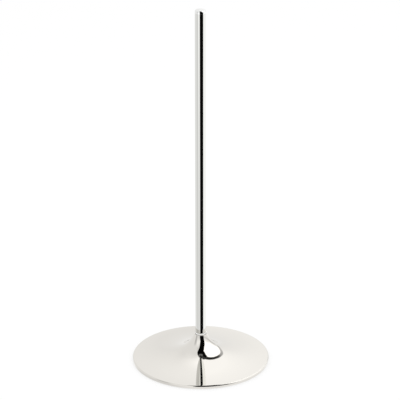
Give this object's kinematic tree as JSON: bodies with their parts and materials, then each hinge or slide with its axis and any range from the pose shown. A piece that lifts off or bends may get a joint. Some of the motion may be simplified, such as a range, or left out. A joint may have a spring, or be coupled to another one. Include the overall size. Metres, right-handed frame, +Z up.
{
  "type": "flag pole stand",
  "caption": "Slim round chromed pole screwed on a thin, weighted round foot that flares up into a short neck.",
  "frame": {"origin": "centre of the felt pad's underside, on the surface that the stand rests on", "axes": "+Z up along the pole; X and Y are level, and the stand looks the same from every side"},
  "size_m": [0.13, 0.13, 0.35],
  "materials": {
    "chrome": "mirror-polished chrome plate on steel",
    "cast_iron": "raw casting with a turned underside",
    "felt": "black wool felt",
    "zinc_steel": "bright zinc plate",
    "nylon": "satin light grey nylon",
    "brass": "turned brass"
  },
  "bodies": {
    "foot": {"base_shell": "chrome", "ballast_disc": "cast_iron", "felt_pad": "felt", "neck_bush": "zinc_steel", "tie_stud": "zinc_steel", "flat_washer": "zinc_steel", "lock_washer": "zinc_steel", "hex_nut": "zinc_steel"},
    "ring": {"spacer_ring": "nylon"},
    "pole": {"pole_tube": "chrome", "pole_plug": "chrome", "pole_insert": "brass"}
  },
  "joints": [
    {"name": "pole_rise", "type": "slide", "parent": "foot", "child": "ring", "axis": [0, 0, 1], "range_m": [0, 0.01]},
    {"name": "pole_unscrew", "type": "hinge", "parent": "ring", "child": "pole", "pos_m": [0, 0, 0.03], "axis": [0, 0, 1], "range_deg": [0, 3600]}
  ],
  "couplings": [
    {"joint": "pole_unscrew", "follows": "pole_rise", "rad_per_m": 6283.2}
  ]
}
